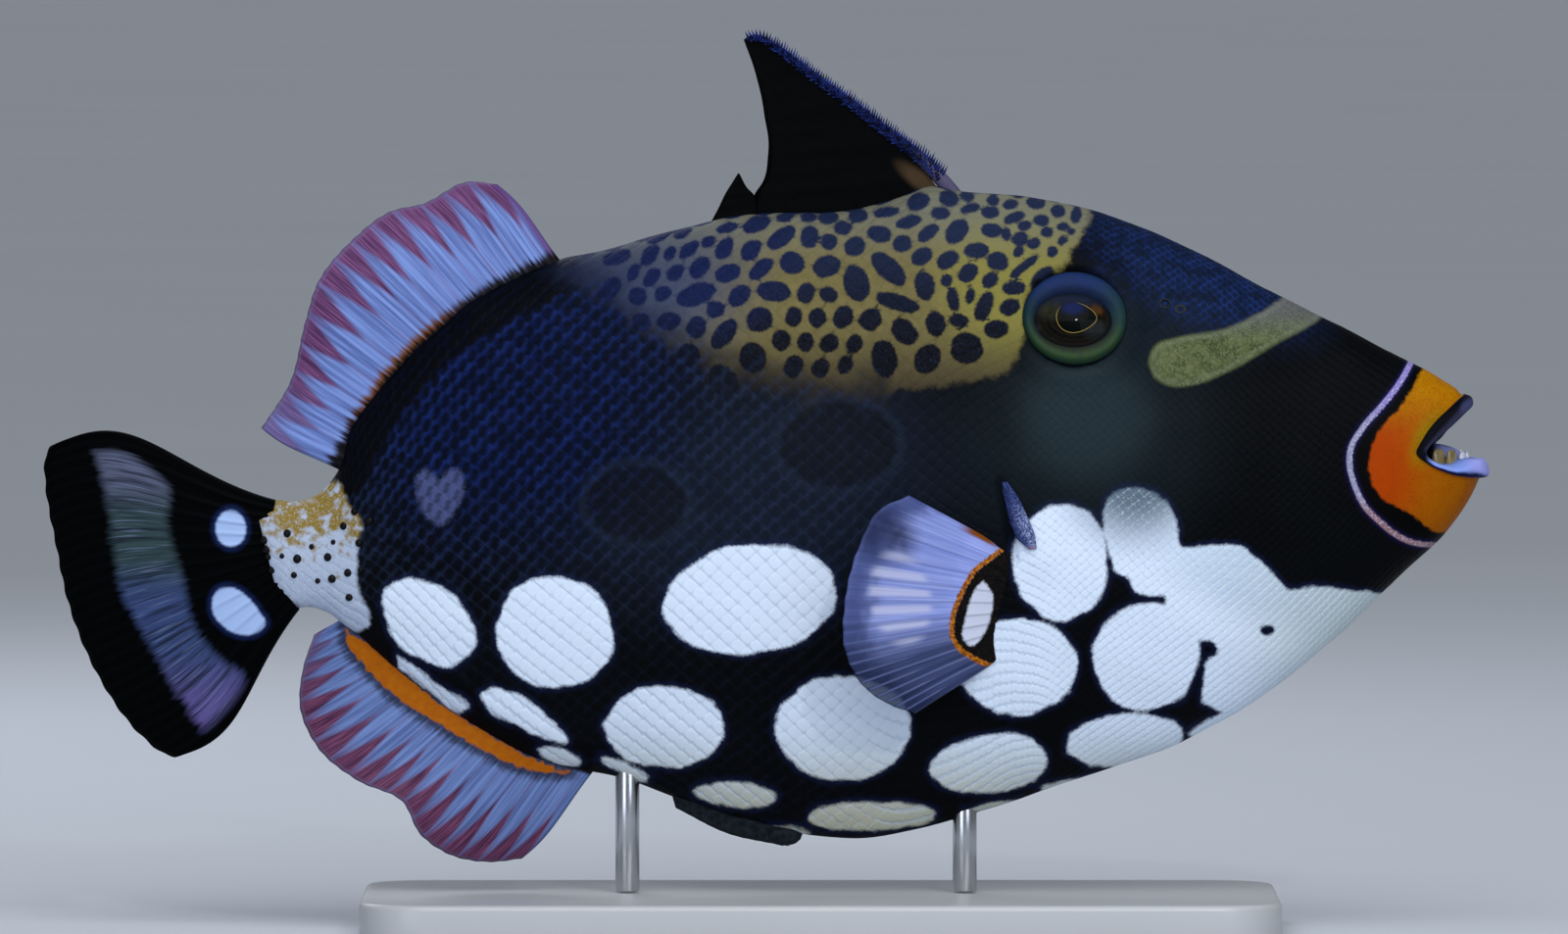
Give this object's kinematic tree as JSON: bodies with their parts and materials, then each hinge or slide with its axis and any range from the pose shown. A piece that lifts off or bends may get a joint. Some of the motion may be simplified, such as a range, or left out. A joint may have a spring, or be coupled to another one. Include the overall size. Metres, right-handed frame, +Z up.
{
  "type": "clown triggerfish model",
  "caption": "Life-size still model of a clown triggerfish with raised spiny dorsal fin and swung tail fin, held on rods above a flat rounded display base.",
  "frame": {"origin": "on the floor under the middle of the model's length and width", "axes": "+X towards the head, +Z up, -Y out of the fish's right side, which the picture shows"},
  "size_m": [0.3007, 0.096, 0.1862],
  "materials": {
    "skin_dark": "painted fish skin with fine scales, satin and slightly wet",
    "skin_orange": "painted smooth lips, satin",
    "skin_pale": "painted fish skin, satin",
    "fin_dark": "painted fin with raised rays, satin",
    "fin_pale": "painted thin fin with raised rays, satin",
    "eye": "polished model eye",
    "tooth": "smooth, slightly glossy",
    "stand_board": "satin painted board",
    "stand_steel": "fine brushed"
  },
  "bodies": {
    "root": {"head": "skin_dark", "mouth": "skin_orange", "torso": "skin_dark", "caudal_peduncle": "skin_pale", "caudal_fin": "fin_dark", "spiny_dorsal_fin": "fin_dark", "rear_dorsal_spine": "fin_dark", "soft_dorsal_fin": "fin_pale", "anal_fin": "fin_pale", "pectoral_fin_right": "fin_pale", "pectoral_fin_left": "fin_pale", "pelvic_spine": "skin_dark", "eye_right": "eye", "eye_left": "eye", "stand_base": "stand_board", "stand_rod_front": "stand_steel", "stand_rod_rear": "stand_steel"}
  },
  "joints": []
}
